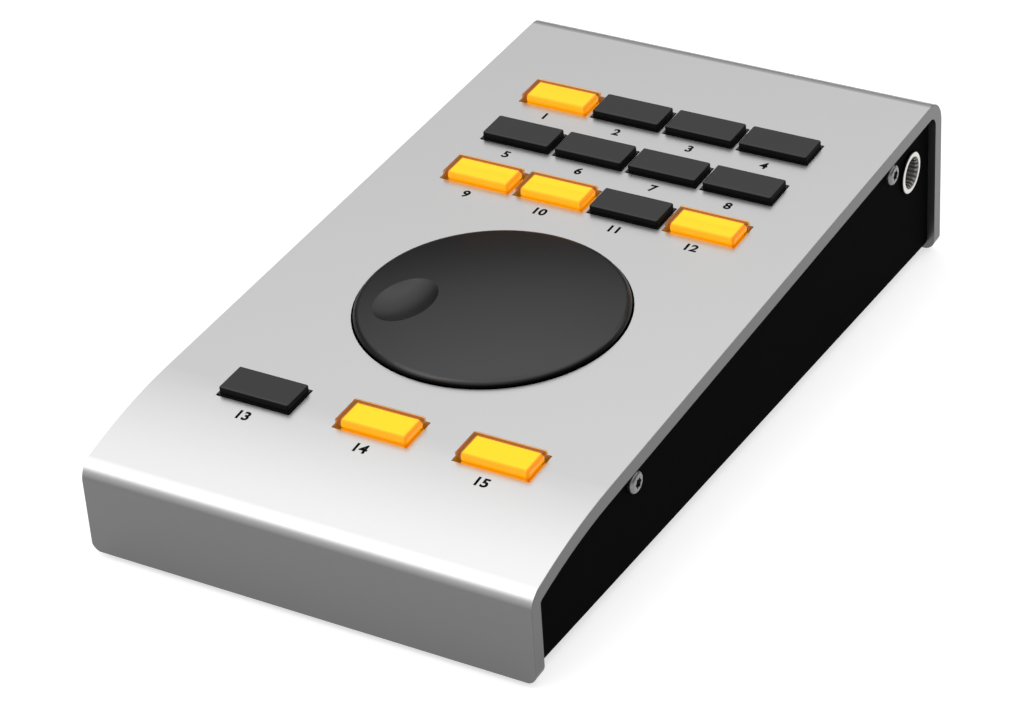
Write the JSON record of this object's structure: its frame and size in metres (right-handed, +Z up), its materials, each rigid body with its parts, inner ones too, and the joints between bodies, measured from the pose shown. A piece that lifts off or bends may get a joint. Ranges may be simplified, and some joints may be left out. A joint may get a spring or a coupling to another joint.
{
  "type": "studio monitor controller",
  "caption": "Sloping aluminium desk box with lit push keys, a large turning wheel with a finger dimple, a headphone jack and a rear socket.",
  "frame": {"origin": "middle of the box on the desk, under the centre of its bounding box", "axes": "+X right, +Y towards the rear apron, +Z up; the front row of keys faces -Y"},
  "size_m": [0.104, 0.2014, 0.0413],
  "materials": {
    "satin_aluminium": "bead-blasted and clear anodised",
    "black_steel": "fine satin black powder coat",
    "black_anodised": "satin black anodised",
    "black_zinc": "black zinc-plated steel",
    "zinc_steel": "bright zinc-plated steel",
    "foot_rubber": "matt black rubber",
    "green_board": "glass-epoxy board with green solder mask",
    "brass": "machined brass",
    "nickel": "bright nickel plate",
    "black_plastic": "moulded black plastic",
    "white_plastic": "moulded white plastic",
    "steel_shaft": "ground steel",
    "contact_gold": "gold-plated spring bronze",
    "pad_silicone": "grey silicone",
    "amber_shell": "clear amber plastic, lit from below",
    "smoked_shell": "smoked plastic, unlit",
    "lit_core": "yellow light-spreading plastic, lit",
    "dark_core": "dark light-spreading plastic, unlit",
    "lamp_resin": "yellow lamp resin",
    "can_aluminium": "bare aluminium can"
  },
  "bodies": {
    "housing": {"top_cover": "satin_aluminium", "base_pan": "black_steel", "rubber_feet": "foot_rubber", "fixing_blocks": "satin_aluminium", "side_screws": "black_zinc", "main_board": "green_board", "board_standoffs": "zinc_steel", "board_screws": "zinc_steel", "key_guides": "black_plastic", "contact_pads": "pad_silicone", "key_lamps": "lamp_resin", "encoder_body": "black_plastic", "jack_bush": "nickel", "jack_body": "black_plastic", "jack_contacts": "contact_gold", "socket_shell": "nickel", "socket_insert": "white_plastic", "socket_contacts": "contact_gold", "microcontroller": "black_plastic", "lamp_drivers": "black_plastic", "crystal": "nickel", "capacitors": "can_aluminium"},
    "wheel": {"control_wheel": "black_anodised", "wheel_bush": "brass", "encoder_shaft": "steel_shaft"},
    "key_01": {"key_cap_01": "amber_shell", "key_core_01": "lit_core"},
    "key_02": {"key_cap_02": "smoked_shell", "key_core_02": "dark_core"},
    "key_03": {"key_cap_03": "smoked_shell", "key_core_03": "dark_core"},
    "key_04": {"key_cap_04": "smoked_shell", "key_core_04": "dark_core"},
    "key_05": {"key_cap_05": "smoked_shell", "key_core_05": "dark_core"},
    "key_06": {"key_cap_06": "smoked_shell", "key_core_06": "dark_core"},
    "key_07": {"key_cap_07": "smoked_shell", "key_core_07": "dark_core"},
    "key_08": {"key_cap_08": "smoked_shell", "key_core_08": "dark_core"},
    "key_09": {"key_cap_09": "amber_shell", "key_core_09": "lit_core"},
    "key_10": {"key_cap_10": "amber_shell", "key_core_10": "lit_core"},
    "key_11": {"key_cap_11": "smoked_shell", "key_core_11": "dark_core"},
    "key_12": {"key_cap_12": "amber_shell", "key_core_12": "lit_core"},
    "key_13": {"key_cap_13": "smoked_shell", "key_core_13": "dark_core"},
    "key_14": {"key_cap_14": "amber_shell", "key_core_14": "lit_core"},
    "key_15": {"key_cap_15": "amber_shell", "key_core_15": "lit_core"}
  },
  "joints": [
    {"name": "wheel_turn", "type": "hinge", "parent": "housing", "child": "wheel", "pos_m": [0, -0.02224, 0.03261], "axis": [0, -0.0767, 0.9971], "continuous": true},
    {"name": "key_01_press", "type": "slide", "parent": "housing", "child": "key_01", "axis": [0, 0.0767, -0.9971], "range_m": [0, 0.001], "stiffness_N_per_m": 700, "springref_m": -0.001},
    {"name": "key_02_press", "type": "slide", "parent": "housing", "child": "key_02", "axis": [0, 0.0767, -0.9971], "range_m": [0, 0.001], "stiffness_N_per_m": 700, "springref_m": -0.001},
    {"name": "key_03_press", "type": "slide", "parent": "housing", "child": "key_03", "axis": [0, 0.0767, -0.9971], "range_m": [0, 0.001], "stiffness_N_per_m": 700, "springref_m": -0.001},
    {"name": "key_04_press", "type": "slide", "parent": "housing", "child": "key_04", "axis": [0, 0.0767, -0.9971], "range_m": [0, 0.001], "stiffness_N_per_m": 700, "springref_m": -0.001},
    {"name": "key_05_press", "type": "slide", "parent": "housing", "child": "key_05", "axis": [0, 0.0767, -0.9971], "range_m": [0, 0.001], "stiffness_N_per_m": 700, "springref_m": -0.001},
    {"name": "key_06_press", "type": "slide", "parent": "housing", "child": "key_06", "axis": [0, 0.0767, -0.9971], "range_m": [0, 0.001], "stiffness_N_per_m": 700, "springref_m": -0.001},
    {"name": "key_07_press", "type": "slide", "parent": "housing", "child": "key_07", "axis": [0, 0.0767, -0.9971], "range_m": [0, 0.001], "stiffness_N_per_m": 700, "springref_m": -0.001},
    {"name": "key_08_press", "type": "slide", "parent": "housing", "child": "key_08", "axis": [0, 0.0767, -0.9971], "range_m": [0, 0.001], "stiffness_N_per_m": 700, "springref_m": -0.001},
    {"name": "key_09_press", "type": "slide", "parent": "housing", "child": "key_09", "axis": [0, 0.0767, -0.9971], "range_m": [0, 0.001], "stiffness_N_per_m": 700, "springref_m": -0.001},
    {"name": "key_10_press", "type": "slide", "parent": "housing", "child": "key_10", "axis": [0, 0.0767, -0.9971], "range_m": [0, 0.001], "stiffness_N_per_m": 700, "springref_m": -0.001},
    {"name": "key_11_press", "type": "slide", "parent": "housing", "child": "key_11", "axis": [0, 0.0767, -0.9971], "range_m": [0, 0.001], "stiffness_N_per_m": 700, "springref_m": -0.001},
    {"name": "key_12_press", "type": "slide", "parent": "housing", "child": "key_12", "axis": [0, 0.0767, -0.9971], "range_m": [0, 0.001], "stiffness_N_per_m": 700, "springref_m": -0.001},
    {"name": "key_13_press", "type": "slide", "parent": "housing", "child": "key_13", "axis": [0, 0.0767, -0.9971], "range_m": [0, 0.001], "stiffness_N_per_m": 700, "springref_m": -0.001},
    {"name": "key_14_press", "type": "slide", "parent": "housing", "child": "key_14", "axis": [0, 0.0767, -0.9971], "range_m": [0, 0.001], "stiffness_N_per_m": 700, "springref_m": -0.001},
    {"name": "key_15_press", "type": "slide", "parent": "housing", "child": "key_15", "axis": [0, 0.0767, -0.9971], "range_m": [0, 0.001], "stiffness_N_per_m": 700, "springref_m": -0.001}
  ]
}
